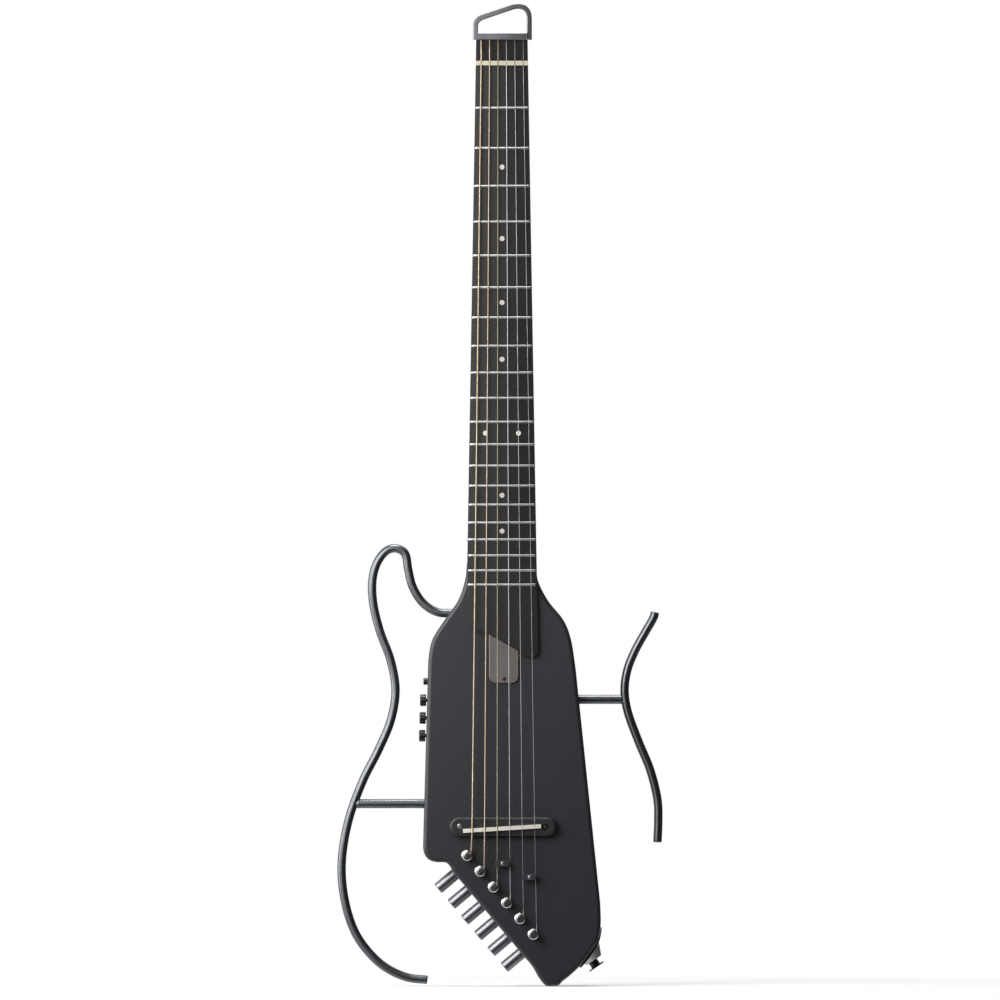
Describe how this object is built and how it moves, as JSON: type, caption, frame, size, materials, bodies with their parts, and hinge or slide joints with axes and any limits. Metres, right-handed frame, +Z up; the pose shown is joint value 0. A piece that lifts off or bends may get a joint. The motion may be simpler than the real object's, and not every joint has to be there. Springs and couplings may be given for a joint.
{
  "type": "skeleton frame guitar",
  "caption": "Headless travel guitar: slim body, bent frame rods that pull out at the sides, tuners along the cut lower edge, side controls and a hanging loop.",
  "frame": {"origin": "inner face of the hanging loop, on the centre line of the neck", "axes": "+Z up the neck, +X to the right of someone facing the strings, -Y out of the strings"},
  "size_m": [0.2783, 0.0565, 0.8397],
  "materials": {
    "body_paint": "satin charcoal lacquer",
    "neck_wood": "satin black lacquer",
    "fingerboard_wood": "oiled ebony, crowned nickel frets",
    "bone": "polished bone colour",
    "gunmetal": "satin gunmetal",
    "rod_paint": "satin gunmetal",
    "knob_metal": "smoked chrome",
    "chrome": "bright",
    "steel": "plain",
    "brass": "plain",
    "wound_string": "bronze wound",
    "plain_string": "plain steel",
    "black_plastic": "satin black",
    "black_gloss": "gloss black",
    "cover_plate": "satin grey",
    "circuit": "solder mask green",
    "battery_case": "printed metal"
  },
  "bodies": {
    "guitar": {"body": "body_paint", "rear_cover": "black_plastic", "neck": "neck_wood", "truss_rod": "steel", "fingerboard": "fingerboard_wood", "truss_rod_cover": "cover_plate", "nut": "bone", "head_bar": "gunmetal", "head_loop": "gunmetal", "bridge": "black_plastic", "saddle_pickup": "brass", "saddle": "bone", "string_1": "wound_string", "string_2": "wound_string", "string_3": "wound_string", "string_4": "plain_string", "string_5": "plain_string", "string_6": "plain_string", "string_retainer_1": "black_plastic", "string_retainer_2": "black_plastic", "frame_sleeve_upper_left": "brass", "frame_sleeve_lower_left": "brass", "frame_sleeve_right": "brass", "button_switch": "black_plastic", "circuit_board": "circuit", "battery": "battery_case", "strap_boss_plate": "black_plastic", "strap_boss": "gunmetal", "strap_button": "black_gloss", "tuner_housing_1": "chrome", "tuner_housing_2": "chrome", "tuner_housing_3": "chrome", "tuner_housing_4": "chrome", "tuner_housing_5": "chrome", "tuner_housing_6": "chrome", "potentiometer_1": "steel", "potentiometer_2": "steel", "potentiometer_3": "steel"},
    "left_frame": {"left_frame_rod": "rod_paint", "left_strut": "rod_paint"},
    "right_frame": {"right_frame_rod": "rod_paint", "right_strut": "rod_paint"},
    "button": {"push_button": "black_gloss"},
    "knob_1": {"control_knob_1": "black_gloss"},
    "knob_2": {"control_knob_2": "black_gloss"},
    "knob_3": {"control_knob_3": "black_gloss"},
    "tuning_key_1": {"tuner_knob_1": "knob_metal"},
    "tuning_post_1": {"tuner_post_1": "chrome"},
    "tuning_key_2": {"tuner_knob_2": "knob_metal"},
    "tuning_post_2": {"tuner_post_2": "chrome"},
    "tuning_key_3": {"tuner_knob_3": "knob_metal"},
    "tuning_post_3": {"tuner_post_3": "chrome"},
    "tuning_key_4": {"tuner_knob_4": "knob_metal"},
    "tuning_post_4": {"tuner_post_4": "chrome"},
    "tuning_key_5": {"tuner_knob_5": "knob_metal"},
    "tuning_post_5": {"tuner_post_5": "chrome"},
    "tuning_key_6": {"tuner_knob_6": "knob_metal"},
    "tuning_post_6": {"tuner_post_6": "chrome"}
  },
  "joints": [
    {"name": "left_frame_pull", "type": "slide", "parent": "guitar", "child": "left_frame", "axis": [-1, 0, 0], "range_m": [0, 0.03]},
    {"name": "right_frame_pull", "type": "slide", "parent": "guitar", "child": "right_frame", "axis": [1, 0, 0], "range_m": [0, 0.03]},
    {"name": "button_press", "type": "slide", "parent": "guitar", "child": "button", "axis": [1, 0, 0], "range_m": [0, 0.0015], "stiffness_N_per_m": 400, "springref_m": -0.0005},
    {"name": "knob_1_turn", "type": "hinge", "parent": "guitar", "child": "knob_1", "pos_m": [-0.066, 0.02, -0.587], "axis": [-1, 0, 0], "range_deg": [-135, 135]},
    {"name": "knob_2_turn", "type": "hinge", "parent": "guitar", "child": "knob_2", "pos_m": [-0.066, 0.02, -0.60217], "axis": [-1, 0, 0], "range_deg": [-135, 135]},
    {"name": "knob_3_turn", "type": "hinge", "parent": "guitar", "child": "knob_3", "pos_m": [-0.066, 0.02, -0.61734], "axis": [-1, 0, 0], "range_deg": [-135, 135]},
    {"name": "key_1_turn", "type": "hinge", "parent": "guitar", "child": "tuning_key_1", "pos_m": [-0.02594, 0.0229, -0.72399], "axis": [-0.7656, 0, -0.6433], "continuous": true},
    {"name": "key_2_turn", "type": "hinge", "parent": "guitar", "child": "tuning_key_2", "pos_m": [-0.01461, 0.0229, -0.73748], "axis": [-0.7656, 0, -0.6433], "continuous": true},
    {"name": "key_3_turn", "type": "hinge", "parent": "guitar", "child": "tuning_key_3", "pos_m": [-0.00328, 0.0229, -0.75096], "axis": [-0.7656, 0, -0.6433], "continuous": true},
    {"name": "key_4_turn", "type": "hinge", "parent": "guitar", "child": "tuning_key_4", "pos_m": [0.00805, 0.0229, -0.76444], "axis": [-0.7656, 0, -0.6433], "continuous": true},
    {"name": "key_5_turn", "type": "hinge", "parent": "guitar", "child": "tuning_key_5", "pos_m": [0.01938, 0.0229, -0.77792], "axis": [-0.7656, 0, -0.6433], "continuous": true},
    {"name": "key_6_turn", "type": "hinge", "parent": "guitar", "child": "tuning_key_6", "pos_m": [0.0307, 0.0229, -0.7914], "axis": [-0.7656, 0, -0.6433], "continuous": true},
    {"name": "post_1_turn", "type": "hinge", "parent": "guitar", "child": "tuning_post_1", "pos_m": [-0.0298, 0, -0.7194], "axis": [0, -1, 0], "continuous": true},
    {"name": "post_2_turn", "type": "hinge", "parent": "guitar", "child": "tuning_post_2", "pos_m": [-0.01847, 0, -0.73288], "axis": [0, -1, 0], "continuous": true},
    {"name": "post_3_turn", "type": "hinge", "parent": "guitar", "child": "tuning_post_3", "pos_m": [-0.00714, 0, -0.74636], "axis": [0, -1, 0], "continuous": true},
    {"name": "post_4_turn", "type": "hinge", "parent": "guitar", "child": "tuning_post_4", "pos_m": [0.00419, 0, -0.75985], "axis": [0, -1, 0], "continuous": true},
    {"name": "post_5_turn", "type": "hinge", "parent": "guitar", "child": "tuning_post_5", "pos_m": [0.01552, 0, -0.77333], "axis": [0, -1, 0], "continuous": true},
    {"name": "post_6_turn", "type": "hinge", "parent": "guitar", "child": "tuning_post_6", "pos_m": [0.02684, 0, -0.78681], "axis": [0, -1, 0], "continuous": true}
  ],
  "couplings": [
    {"joint": "post_1_turn", "follows": "key_1_turn", "ratio": 0.071429},
    {"joint": "post_2_turn", "follows": "key_2_turn", "ratio": 0.071429},
    {"joint": "post_3_turn", "follows": "key_3_turn", "ratio": 0.071429},
    {"joint": "post_4_turn", "follows": "key_4_turn", "ratio": 0.071429},
    {"joint": "post_5_turn", "follows": "key_5_turn", "ratio": 0.071429},
    {"joint": "post_6_turn", "follows": "key_6_turn", "ratio": 0.071429}
  ]
}
